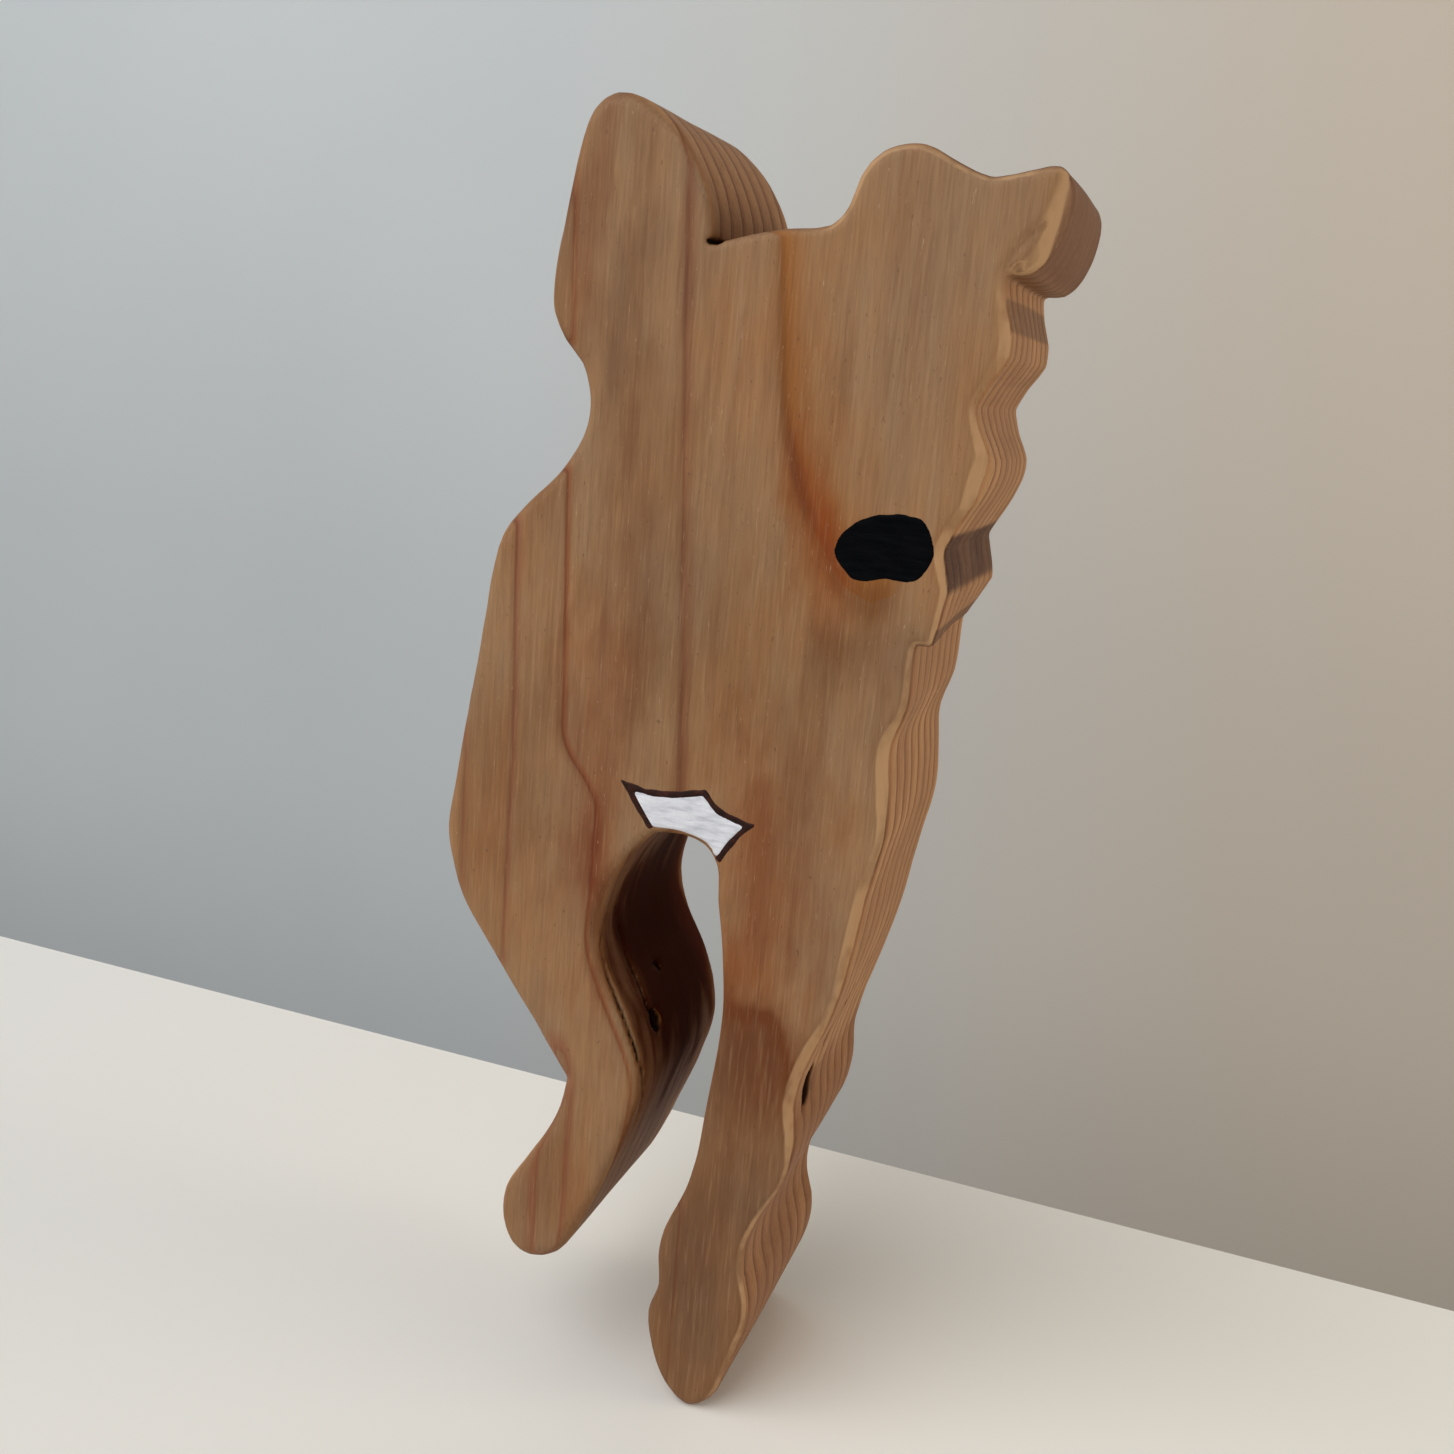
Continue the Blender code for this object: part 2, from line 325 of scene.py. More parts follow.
def sawn_side(x, y, z):
    """Signed distance to the sawn walls, with the ledge, the spur's overhang and the saw's waves."""
    depth = y - FRONT
    past_end = np.maximum(np.abs(x - LEDGE_AT[0]) - LEDGE_HALF_WIDTH, 0)
    ledge = np.hypot(past_end, z - LEDGE_AT[1]) - LEDGE_RADIUS + LEDGE_TAPER * depth
    side = np.minimum(silhouette(x, z), ledge)
    side = np.maximum(side, np.where(x > SPUR_SIDE, spur_cut(x, depth, z), FAR_INSIDE))
    rough = WALL_WAVES + SCALLOP_WAVES * (x > SCALLOPS_FROM)
    return side + rough * waves(x, y, z, (9, 13, 9)) + FINE_WAVES * waves(x, y, z, (2.6, 7, 2.6))


def worn_board(x, y, z):
    """Signed distance to the board, with its edges rounded and its front edge shaved in places."""
    side = sawn_side(x, y, z)
    radius = radius_map(x, z) * (1 + RADIUS_VARIES * waves(x, y, z, (6, 50, 6)))
    chamfer = chamfer_map(x, z) * (1 + CHAMFER_VARIES * waves(x, y, z, (5, 50, 5)))
    front_half = y < MIDDLE
    edge = np.where(front_half, radius, BACK_EDGE)
    face = np.abs(y - MIDDLE) - HALF_THICKNESS - FACE_WAVES * waves(x, y, z, (14, 60, 30))
    out_side, out_face = side + edge, face + edge
    rounded = np.hypot(np.maximum(out_side, 0), np.maximum(out_face, 0))
    wood = rounded + np.minimum(np.maximum(out_side, out_face), 0) - edge
    shaved = (side + face + chamfer) / math.sqrt(2)
    shaved = np.where(front_half & (chamfer > LEAST_CHAMFER), shaved, FAR_INSIDE)
    return smooth_max(wood, shaved, SHAVED_CREASE)


def fist_flat(x, depth, z):
    """Signed distance to the flat shaved off the fist's lower corner."""
    flat = sum(n * (p - at) for n, p, at in zip(FIST_FLAT_FACES, (x, depth, z), FIST_FLAT_AT))
    far = np.hypot(x - FIST_FLAT_CENTRE[0], z - FIST_FLAT_CENTRE[1])
    return flat - FIST_FLAT_END * np.maximum(far - FIST_FLAT_REACH, 0)


def body_distance(x, y, z, scars=tuple(SCARS)):
    """Signed distance in millimetres to the finished wooden surface, negative inside."""
    depth = y - FRONT
    wood = smooth_max(worn_board(x, y, z), fist_flat(x, depth, z), FLAT_CREASE)
    for scar in scars:
        radius, _, points = scar
        low, high = np.min(points, 0) - SCAR_MARGIN, np.max(points, 0) + SCAR_MARGIN
        near = (x > low[0]) & (x < high[0]) & (z > low[2]) & (z < high[2])
        near = near & (depth > low[1]) & (depth < high[1])
        if near.any():
            spots = [np.broadcast_to(v, wood.shape)[near] for v in (x, y, z)]
            cut = radius - distance_to_scar(scar, *spots)
            wood[near] = smooth_max(wood[near], cut, SCAR_CREASE)
    return wood


def scar_depth_shade(x, y, z):
    """How much painted shade the cracks and holes put on each point of the surface, 0 to 1, by its
    depth.
    """
    near = np.zeros(len(x), bool)
    for scar in SCARS:
        near |= distance_to_scar(scar, x, y, z) < scar[1]
    return np.where(near, np.clip(-body_distance(x, y, z, ()) / FULL_SHADE_DEPTH, 0, 1), 0)


# ------------------------------------------------------------------------------------ surface mesh

SETTLING_STEPS = 2
LEAST_SLOPE = 0.2


def slope_of(field, points, step=0.02):
    """The gradient of a distance field at each point."""
    found = np.empty_like(points)
    for axis in range(3):
        shift = np.zeros(3)
        shift[axis] = step
        found[:, axis] = (field(*(points + shift).T) - field(*(points - shift).T)) / (2 * step)
    return found


def skin_of(field, axes):
    """A closed mesh of quads where a distance field is zero, as (points, quads), in millimetres.

    axes holds the grid's x, y and z levels. Each cell that the surface crosses has one point, in the
    middle of its crossings, and each crossed edge has one quad. The points then settle onto the zero.
    """
    values = field(*np.meshgrid(*axes, indexing="ij"))
    cells = [n - 1 for n in values.shape]
    total, hits = np.zeros((*cells, 3)), np.zeros(cells)
    crossings = []
    for axis in range(3):
        a, b = (np.take(values, range(k, cells[axis] + k), axis) for k in (0, 1))
        crossed = (a < 0) != (b < 0)
        share = np.where(crossed, a / np.where(crossed, a - b, 1), 0)
        place = np.stack(np.indices(a.shape), -1).astype(float)
        place[..., axis] += share
        u, v = (k for k in range(3) if k != axis)
        for du, dv in np.ndindex(2, 2):
            near = [slice(None)] * 3
            near[u], near[v] = slice(du, du + cells[u]), slice(dv, dv + cells[v])
            near = tuple(near)
            total += place[near] * crossed[near][..., None]
            hits += crossed[near]
        crossings.append((crossed, a < 0))
    used = hits > 0
    number = np.full(cells, -1)
    number[used] = np.arange(used.sum())
    places = (total[used] / hits[used][:, None]).T
    points = np.stack([np.interp(p, range(len(a)), a) for p, a in zip(places, axes)], 1)
    quads = []
    for axis, (crossed, inside) in enumerate(crossings):
        u, v = (k for k in range(3) if k != axis)
        spots = np.argwhere(crossed)
        spots = spots[(spots[:, u] > 0) & (spots[:, v] > 0)]
        spots = spots[(spots[:, u] < cells[u]) & (spots[:, v] < cells[v])]
        ring = []
        for du, dv in ((1, 1), (0, 1), (0, 0), (1, 0)):
            corner = spots.copy()
            corner[:, u] -= du
            corner[:, v] -= dv
            ring.append(number[tuple(corner.T)])
        ring = np.stack(ring, 1)
        turned = inside[tuple(spots.T)] == (axis == 1)
        ring[turned] = ring[turned][:, ::-1]
        quads.append(ring)
    reach = min(np.diff(axes[0]))
    for _ in range(SETTLING_STEPS):
        slope = slope_of(field, points)
        push = field(*points.T) / np.maximum((slope**2).sum(1), LEAST_SLOPE)
        points -= np.clip(push, -reach / 2, reach / 2)[:, None] * slope
    return points, np.concatenate(quads)


def piece_of(name, field, axes, material):
    """A shown piece of the part: the skin of a distance field, in metres."""
    points, quads = skin_of(field, axes)
    mesh = bpy.data.meshes.new(name)
    mesh.from_pydata((points * MM).tolist(), [], quads.tolist())
    mesh.shade_smooth()
    mesh.materials.append(material)
    made = bpy.data.objects.new(name, mesh)
    bpy.context.collection.objects.link(made)
    return made


# --------------------------------------------------------------------------------------- materials

ANY_DEPTH = 1e6


def srgb(red, green, blue):
    """A linear colour from one read in 0-255 screen values."""
    shares = (c / 255 for c in (red, green, blue))
    linear = [c / 12.92 if c < 0.04045 else ((c + 0.055) / 1.055) ** 2.4 for c in shares]
    return (*linear, 1.0)


class Finish:
    """A material under construction, with short ways to add nodes."""

    def __init__(self, name):
        self.material = bpy.data.materials.new(name)
        self.material.use_nodes = True
        self.tree = self.material.node_tree
        self.tree.nodes.clear()
        place = self.add("ShaderNodeTexCoord")
        scaled = self.add("ShaderNodeVectorMath", {0: place.outputs["Object"]}, operation="SCALE")
        scaled.inputs["Scale"].default_value = 1 / MM
        self.place = scaled.outputs[0]
        self.facing = place.outputs["Normal"]

    def add(self, kind, inputs=None, **settings):
        """A new node. inputs holds a value or a socket for each of its inputs, by name or number."""
        made = self.tree.nodes.new(kind)
        for key, value in settings.items():
            setattr(made, key, value)
        for key, value in (inputs or {}).items():
            if isinstance(value, bpy.types.NodeSocket):
                self.tree.links.new(value, made.inputs[key])
            else:
                made.inputs[key].default_value = value
        return made

    def math(self, operation, *values):
        """One step of arithmetic on numbers or sockets."""
        return self.add("ShaderNodeMath", dict(enumerate(values)), operation=operation).outputs[0]

    def plus(self, first, *others):
        for other in others:
            first = self.math("ADD", first, other)
        return first

    def minus(self, first, second):
        return self.math("SUBTRACT", first, second)

    def times(self, first, *others):
        for other in others:
            first = self.math("MULTIPLY", first, other)
        return first

    def axes(self, vector):
        return self.add("ShaderNodeSeparateXYZ", {0: vector}).outputs

    def range(self, value, start, end, low=0.0, high=1.0, smooth=True):
        """low to high as a value goes from start to end, and flat outside them."""
        kind = "SMOOTHSTEP" if smooth else "LINEAR"
        inputs = {"Value": value, "From Min": start, "From Max": end, "To Min": low, "To Max": high}
        return self.add("ShaderNodeMapRange", inputs, interpolation_type=kind).outputs[0]

    def noise(self, size, detail=2.0, roughness=0.5, distortion=0.0, shift=0.0):
        """Noise from 0 to 1 with bumps of about one size, a length in mm along each axis."""
        squeezed = self.add("ShaderNodeMapping", {"Vector": self.place}, vector_type="POINT")
        squeezed.inputs["Scale"].default_value = [1 / s for s in size]
        squeezed.inputs["Location"].default_value = (shift, shift * 1.7, shift * 0.6)
        inputs = {
            "Vector": squeezed.outputs[0], "Scale": 1.0, "Detail": detail,
            "Roughness": roughness, "Distortion": distortion,
        }
        return self.add("ShaderNodeTexNoise", inputs, noise_dimensions="3D").outputs["Fac"]

    def ellipsoid(self, centre, half_sizes, lean=0.0):
        """0 at a centre, growing to 1 on an ellipsoid, in mm. lean is in degrees about the y axis."""
        moved = self.add("ShaderNodeMapping", {"Vector": self.place}, vector_type="TEXTURE")
        moved.inputs["Location"].default_value = centre
        moved.inputs["Rotation"].default_value = (0, math.radians(lean), 0)
        moved.inputs["Scale"].default_value = half_sizes
        length = self.add("ShaderNodeVectorMath", {0: moved.outputs[0]}, operation="LENGTH")
        return length.outputs["Value"]

    def spot(self, x, z, wide, tall, lean=0.0):
        """0 at a place, growing to 1 on the edge of an ellipse of these half sizes, at any depth."""
        return self.ellipsoid((x, 0, z), (wide, ANY_DEPTH, tall), lean)

    def ramp(self, value, stops, kind="LINEAR"):
        """A colour and an alpha for each value, from (value, colour) stops."""
        made = self.add("ShaderNodeValToRGB", {0: value})
        made.color_ramp.interpolation = kind
        points = made.color_ramp.elements
        while len(points) < len(stops):
            points.new(0.5)
        for point, (position, colour) in zip(points, stops):
            point.position = position
            point.color = colour
        return made.outputs

    def mix(self, share, first, second, blend="MIX"):
        """The first colour, with a share of the second over it."""
        made = self.add("ShaderNodeMix", data_type="RGBA", blend_type=blend)
        for socket, value in ((0, share), (6, first), (7, second)):
            if isinstance(value, bpy.types.NodeSocket):
                self.tree.links.new(value, made.inputs[socket])
            else:
                made.inputs[socket].default_value = value
        return made.outputs[2]

    def bump(self, height, distance, strength, before=None):
        """A bumped normal, on top of the one before. The distance is in mm."""
        inputs = {"Height": height, "Distance": distance * MM, "Strength": strength}
        if before is not None:
            inputs["Normal"] = before
        return self.add("ShaderNodeBump", inputs).outputs[0]

    def done(self, **inputs):
        """The material, with these inputs on its shader."""
        names = {key.replace("_", " "): value for key, value in inputs.items()}
        shader = self.add("ShaderNodeBsdfPrincipled", names)
        self.add("ShaderNodeOutputMaterial", {"Surface": shader.outputs[0]})
        return self.material


# The board's growth rings are cylinders round a pith line behind the back. The pith's depth behind
# the front is given at two heights, as (height, depth), and swells a little in the head. Across the
# front the ring edges lie at these distances from the pith, and past them they are evenly spaced.
PITH_X = 16.0
PITH_LOW = (77.0, 60.6)
PITH_HIGH = (141.0, 59.15)
HEAD_SWELL = 0.6
RING_EDGES = [56.7, 60.0, 63.4, 66.3, 69.0, 72.2, 75.6]
RING_SPACING = 3.3

# Late wood: each ring's colour and strength, from the pith's side outwards. The first is the ring
# before the first of RING_EDGES.
LATE_WOOD = [
    ((150, 96, 62), 0.50), ((154, 94, 32), 0.90), ((134, 80, 50), 0.60), ((150, 108, 76), 0.08),
    ((142, 78, 38), 0.75), ((140, 78, 52), 0.55), ((150, 92, 60), 0.40),
]

# Stains and warmer or greyer regions, which tint the wood, as (x, z, half width, half height, lean in
# degrees, colour, strength). Lengths here and below are in millimetres.
REGIONS = [
    (-23.0, 132.0, 10.0, 26.0, 0.0, (206, 202, 204), 0.55),
    (-17.0, 136.0, 1.8, 15.0, 4.0, (210, 168, 154), 0.60),
    (-12.0, 128.0, 3.6, 18.0, 3.0, (200, 184, 172), 0.55),
    (-9.0, 106.0, 7.0, 26.0, 0.0, (214, 200, 190), 0.60),
    (-13.0, 78.0, 5.5, 28.0, 2.0, (228, 186, 156), 0.70),
    (-23.0, 72.0, 9.0, 20.0, 0.0, (196, 182, 170), 0.50),
    (-22.0, 112.0, 4.0, 14.0, 0.0, (202, 170, 150), 0.50),
    (9.0, 118.0, 4.5, 14.0, 0.0, (238, 210, 168), 0.60),
    (15.5, 94.8, 7.5, 4.5, -20.0, (190, 182, 180), 0.55),
    (9.6, 107.0, 3.8, 13.0, -24.0, (240, 182, 92), 0.95),
    (4.0, 94.0, 16.0, 22.0, 0.0, (220, 208, 190), 0.65),
    (8.0, 68.0, 10.0, 20.0, -4.0, (222, 180, 146), 0.75),
    (6.5, 72.0, 2.4, 14.0, -6.0, (226, 186, 156), 0.50),
    (-10.8, 58.0, 2.6, 15.0, -6.0, (206, 144, 92), 0.75),
    (3.0, 18.0, 9.0, 20.0, 8.0, (208, 194, 184), 0.70),
    (-16.0, 24.0, 9.0, 16.0, 25.0, (222, 200, 180), 0.70),
    (6.5, 57.0, 7.5, 5.5, -15.0, (234, 180, 120), 0.65),
    (9.0, 45.0, 7.5, 9.5, 0.0, (196, 156, 122), 0.80),
]

# The branch knot's halo arches over the long leg, as (x, z, half width, half height, lean).
HALO = (6.0, 43.0, 8.6, 10.4, -6.0)
# The cut branch itself, in the short leg's inner wall, as a centre and half sizes. Its dark core and
# reddish ring are partly the knot's own colour and partly painted shade and painted warm bounce light
# for the narrow gap between the legs.
KNOT = ((-9.0, FRONT + 16.0, 51.0), (11.0, 15.0, 21.0))
# Painted shade on facets of the side wall that face up and to the right, as (x, z, half width, half
# height, strength).
PAINTED_SHADE_FACETS = [(23.6, 104.6, 1.8, 3.3, 0.93), (27.2, 129.2, 1.9, 1.7, 0.50), (22.5, 97.2, 1.6, 1.4, 0.70)]


class Softwood(Finish):
    """The body's oiled wood under construction. Each layer goes over the colour so far."""

    def __init__(self, name):
        super().__init__(name)
        self.x, y, self.z = self.axes(self.place)
        self.depth = self.minus(y, FRONT)
        self.frontal = self.math("ABSOLUTE", self.axes(self.facing)["Y"])
        self.sideways = self.range(self.frontal, 0.75, 0.35)
        self.on_front = self.range(self.sideways, 1.0, 0.0)
        self.streak = self.noise((1.2, 1.4, 26), 3.0, 0.6, shift=2.0)
        self.fibre = self.noise((0.20, 0.20, 4.5), 3.0, 0.6)
        self.phase = self.ring_phase(self.ring_radius())
        self.share = self.math("FRACT", self.phase)
        self.stripe = self.math("POWER", self.share, 2.8)

    def ring_radius(self):
        """Distance from the pith in millimetres, with the rings' unevenness added."""
        x, z = self.x, self.z
        across = self.minus(x, PITH_X)
        pith = self.range(z, PITH_LOW[0], PITH_HIGH[0], PITH_LOW[1], PITH_HIGH[1], False)
        swell = self.times(self.range(z, 94, 122, 0, HEAD_SWELL), self.range(x, -5, 4))
        deep = self.minus(self.minus(pith, swell), self.depth)
        radius = self.math("SQRT", self.plus(self.times(across, across), self.times(deep, deep)))
        slow = self.times(self.minus(self.noise((13, 16, 45), 1.0), 0.5), 0.35)
        quick = self.times(self.minus(self.noise((3, 4, 14), 1.0), 0.5), 0.14)
        radius = self.plus(radius, self.plus(slow, quick))
        # The branch in the short leg pushes the rings aside.
        bends = self.plus(self.range(z, 82, 72, 0.0, 2.1), self.range(z, 58, 38, 0.0, 2.7))
        swerve = self.times(self.range(x, -22.5, -13.5), bends)
        short_leg = self.math("MAXIMUM", self.range(x, -4, -10), self.range(z, 66, 56))
        swerve = self.times(swerve, self.times(short_leg, self.range(x, 4, -3)))
        # Deeper in the board the rings are less even.
        uneven = self.minus(self.noise((15, 6, 30), 1.0, shift=41.0), 0.5)
        uneven = self.times(self.range(self.depth, 1.0, 7.0, 0.0, 1.5), uneven)
        return self.plus(radius, swerve, uneven)

    def ring_phase(self, radius):
        """A place among the rings: 0 on the first of RING_EDGES, 1 on the next, and so on."""
        first, last = RING_EDGES[0], RING_EDGES[-1]
        count = len(RING_EDGES) - 1
        stops = [
            ((edge - first) / (last - first), (k / count,) * 3 + (1,))
            for k, edge in enumerate(RING_EDGES)
        ]
        share = self.range(radius, first, last, smooth=False)
        between = self.times(self.ramp(share, stops)["Color"], float(count))
        before = self.math("DIVIDE", self.minus(radius, first), RING_SPACING)
        after = self.math("DIVIDE", self.minus(radius, last), RING_SPACING)
        before = self.math("MINIMUM", before, 0.0)
        return self.plus(between, before, self.math("MAXIMUM", after, 0.0))

    def late_wood(self, ring):
        """The colour and strength of a ring, by its whole number, which is -1 for the first."""
        count = len(LATE_WOOD)
        stops = [
            (max(k - 0.5, 0.0) / count, (*srgb(*tint)[:3], strength))
            for k, (tint, strength) in enumerate(LATE_WOOD)
        ]
        return self.ramp(self.range(ring, -1.0, count - 1.0, smooth=False), stops, "CONSTANT")

    def early_wood(self):
        """Pale early wood, with broad clouds and long streaks."""
        cloud = self.noise((13, 13, 30), 3.0, 0.6, shift=4.0)
        stops = [(0.30, srgb(140, 110, 82)), (0.50, srgb(150, 112, 76)), (0.72, srgb(155, 107, 66))]
        colour = self.ramp(cloud, stops)["Color"]
        dark = self.range(self.streak, 0.45, 0.75, 0.0, 0.34)
        colour = self.mix(dark, colour, srgb(118, 76, 48))
        pale = self.noise((1.6, 1.6, 20), 2.0, shift=12.0)
        return self.mix(self.range(pale, 0.52, 0.8, 0.0, 0.25), colour, srgb(160, 132, 102))

    def ring_lines(self, colour):
        """Late wood across the front: a thin line at each ring's edge, with a soft shade."""
        ring = self.late_wood(self.math("FLOOR", self.phase))
        nearest = self.math("ROUND", self.phase)
        edge = self.late_wood(self.minus(nearest, 1.0))
        # The second ring's arch closes under the spot and fades out before it reaches the fist.
        head_fade = self.range(self.x, 20.5, 17.0)
        shade = self.times(self.range(self.share, 0.82, 1.0), ring["Alpha"], head_fade)
        colour = self.mix(shade, colour, ring["Color"])
        away = self.math("ABSOLUTE", self.minus(self.phase, nearest))
        halo = self.times(self.range(away, 0.16, 0.0), 0.38)
        core = self.times(self.range(away, 0.045, 0.008), 0.42)
        strong = self.range(edge["Alpha"], 0.1, 0.7)
        patchy = self.range(self.noise((6, 6, 22), 2.0, shift=21.0), 0.3, 0.62, 0.45, 1.0)
        fade = self.times(self.range(self.z, 34, 52, 0.25, 1.0), head_fade)
        line = self.times(self.plus(halo, core), strong, self.times(patchy, fade), self.on_front)
        return self.mix(line, colour, self.mix(0.6, edge["Color"], srgb(70, 32, 16)))

    def stains(self, colour):
        """The stained regions, with ragged edges."""
        ragged = self.range(self.noise((4, 6, 9), 3.0, 0.5, shift=51.0), 0.25, 0.75, -0.28, 0.28)
        for x, z, wide, tall, lean, tint, strength in REGIONS:
            region = self.plus(self.spot(x, z, wide, tall, lean), ragged)
            share = self.range(region, 1.30, 0.0, 0.0, strength)
            colour = self.mix(share, colour, srgb(*tint), "MULTIPLY")
        return colour

    def walls(self, colour):
        """The sawn walls: pale early wood and broad brown stripes, rubbed more even in places, with
        painted shade on a few facets.
        """
        stops = [(0.0, srgb(180, 136, 92)), (0.40, srgb(162, 113, 70)), (1.0, srgb(96, 55, 32))]
        wall = self.ramp(self.stripe, stops)["Color"]
        wall = self.mix(self.range(self.streak, 0.40, 0.75, 0.0, 0.35), wall, srgb(112, 70, 44))
        rub = self.range(self.noise((12, 10, 12), 2.0, shift=31.0), 0.30, 0.60, 0.0, 0.45)
        wall = self.mix(rub, wall, srgb(138, 95, 62))
        # The fist's end, in the upper right, is darker.
        fist = self.range(self.plus(self.z, self.x), 160.0, 164.0, 0.0, 0.85)
        wall = self.mix(fist, wall, srgb(104, 68, 46))
        colour = self.mix(self.sideways, colour, wall)
        # Painted shade: the facets that face up and to the right are darkened.
        for x, z, wide, tall, strength in PAINTED_SHADE_FACETS:
            painted_facet_shade = self.range(self.spot(x, z, wide, tall), 1.10, 0.80, 0.0, strength)
            painted_facet_shade = self.times(painted_facet_shade, self.range(rub, 0.45, 0.0, 0.8, 1.0), self.sideways)
            colour = self.mix(painted_facet_shade, colour, srgb(92, 54, 26), "MULTIPLY")
        return colour

    def knot_halo(self, colour):
        """The knot's arch on the long leg's front, with darker wood under it."""
        uneven = self.range(self.noise((4, 9, 7), 3.0, shift=8.0), 0.3, 0.7, -0.09, 0.09)
        arch = self.plus(self.spot(*HALO), uneven)
        under = self.times(self.range(arch, 1.0, 0.9), self.range(self.x, -1.0, 1.0))
        lower = self.times(self.range(self.z, 46.0, 40.0), self.range(self.x, -3.0, -1.0))
        dark = self.times(self.math("MAXIMUM", under, lower), 0.75)
        colour = self.mix(dark, colour, srgb(206, 188, 174), "MULTIPLY")
        off = self.math("ABSOLUTE", self.minus(arch, 0.97))
        narrow, wide = self.range(off, 0.22, 0.03, 0.0, 0.55), self.range(off, 0.5, 0.0, 0.0, 0.40)
        on_leg = self.times(self.range(self.x, 0.5, 2.0), self.range(self.z, 42.0, 46.0))
        band = self.times(self.plus(narrow, wide), on_leg, self.on_front)
        return self.mix(band, colour, srgb(102, 50, 13))

    def knot_core_and_gap_shade(self, colour):
        """The cut branch in the inner wall, with painted shade and painted warm bounce light for the
        gap between the legs. Returns the colour and how far a point is dark knot and painted shade.
        """
        uneven = self.range(self.noise((5, 3, 12), 3.0, shift=14.0), 0.3, 0.7, -0.18, 0.18)
        away = self.plus(self.ellipsoid(*KNOT), uneven)
        inner = self.times(self.range(self.x, 2.0, -1.0), self.range(self.x, -21.0, -17.0))
        # Partly the knot's colour and partly painted: the reddish ring stands in for warm bounce light
        # and the dark core for the shade in the gap between the legs.
        around = self.times(self.range(away, 1.6, 0.9, 0.0, 0.65), inner, self.sideways)
        colour = self.mix(around, colour, srgb(124, 68, 28))
        knot_and_gap_shade = self.times(self.range(away, 1.1, 0.55), self.sideways, inner)
        return self.mix(self.times(knot_and_gap_shade, 0.95), colour, srgb(64, 16, 6)), knot_and_gap_shade

    def fibres(self, colour, knot_and_gap_shade):
        """Short dark and pale strokes along the grain, fine specks, and scratches on the trunk."""
        dark = self.range(self.fibre, 0.42, 0.72, 0.0, 0.24, False)
        colour = self.mix(dark, colour, srgb(84, 52, 33))
        pale = self.noise((0.28, 0.28, 6.0), 2.0, 0.6, shift=9.0)
        pale = self.times(self.range(pale, 0.54, 0.78, 0.0, 0.2, False), self.range(knot_and_gap_shade, 0.5, 0.0))
        colour = self.mix(pale, colour, srgb(184, 146, 106))
        speck = self.noise((0.35, 0.35, 0.9), 2.0, 0.6, shift=17.0)
        colour = self.mix(self.range(speck, 0.68, 0.76, 0.0, 0.5), colour, srgb(84, 52, 36))
        scratch = self.range(self.noise((0.16, 0.5, 1.6), 1.0, 0.5, 1.4, shift=27.0), 0.72, 0.78)
        scratch = self.times(scratch, self.range(self.z, 56.0, 64.0), 0.35)
        return self.mix(scratch, colour, srgb(196, 166, 132))

    def wear(self, colour):
        """The worn edge beside the front is paler, partly from wear and partly as a painted highlight;
        end grain drinks oil and is darker.
        """
        # Paler worn edge: sanded lighter wood plus a painted highlight along the rounded front edge.
        lit_worn_bevel = self.times(self.range(self.frontal, 0.45, 0.62), self.range(self.frontal, 0.96, 0.86))
        where = self.times(self.range(self.depth, 3.4, 2.2), self.range(self.x, 6.0, 9.0))
        patchy = self.range(self.noise((3, 3, 5), 2.0, 0.6, shift=61.0), 0.35, 0.62, 0.15, 0.62)
        colour = self.mix(self.times(lit_worn_bevel, where, patchy), colour, srgb(194, 153, 110))
        end = self.range(self.math("ABSOLUTE", self.axes(self.facing)["Z"]), 0.35, 0.95)
        return self.mix(self.times(end, 0.40), colour, srgb(98, 62, 40))


def oiled_softwood():
    """The body's wood. The mesh's "scar" attribute paints shade into cracks and holes and makes them
    dull.
    """
    wood = Softwood("oiled_softwood")
    colour = wood.ring_lines(wood.early_wood())
    colour = wood.walls(wood.stains(colour))
    colour, knot_and_gap_shade = wood.knot_core_and_gap_shade(wood.knot_halo(colour))
    colour = wood.wear(wood.fibres(colour, knot_and_gap_shade))
    scar = wood.add("ShaderNodeAttribute", attribute_name="scar").outputs["Fac"]
    # Painted shade in the cracks and holes, darker where they are deeper.
    colour = wood.mix(wood.range(scar, 0.15, 0.95, 0.0, 0.97), colour, srgb(26, 12, 8))
    relief = wood.bump(wood.fibre, 0.04, 0.5)
    relief = wood.bump(wood.stripe, 0.05, 0.25, relief)
    relief = wood.bump(wood.noise((1.6, 1.6, 3.2), 2.0, shift=3.0), 0.10, 0.35, relief)
    rough = wood.range(wood.fibre, 0.2, 0.8, 0.52, 0.68, False)
    gloss = wood.range(wood.math("MAXIMUM", scar, knot_and_gap_shade), 0.0, 0.7, 0.20, 0.02)
    return wood.done(Base_Color=colour, Roughness=rough, Normal=relief, Specular_IOR_Level=gloss)


def brushed_paint(name, dark, mid, light, rough, gloss, stroke):
    """A thin hand-brushed film: colour and relief run along the strokes. stroke is their size in mm."""
    paint = Finish(name)
    strokes = paint.noise(stroke, 3.0, 0.6, 0.3)
    grain = paint.noise((0.25, 0.4, 0.25), 2.0, shift=5.0)
    colour = paint.ramp(strokes, [(0.25, dark), (0.5, mid), (0.8, light)])["Color"]
    colour = paint.mix(paint.range(grain, 0.4, 0.8, 0.0, 0.15), colour, dark)
    relief = paint.bump(strokes, 0.12, 0.6)
    relief = paint.bump(grain, 0.03, 0.4, relief)
    roughness = paint.range(grain, 0.2, 0.8, rough - 0.07, rough + 0.07, False)
    return paint.done(Base_Color=colour, Roughness=roughness, Normal=relief, Specular_IOR_Level=gloss)


# ------------------------------------------------------------------------------------------ pieces

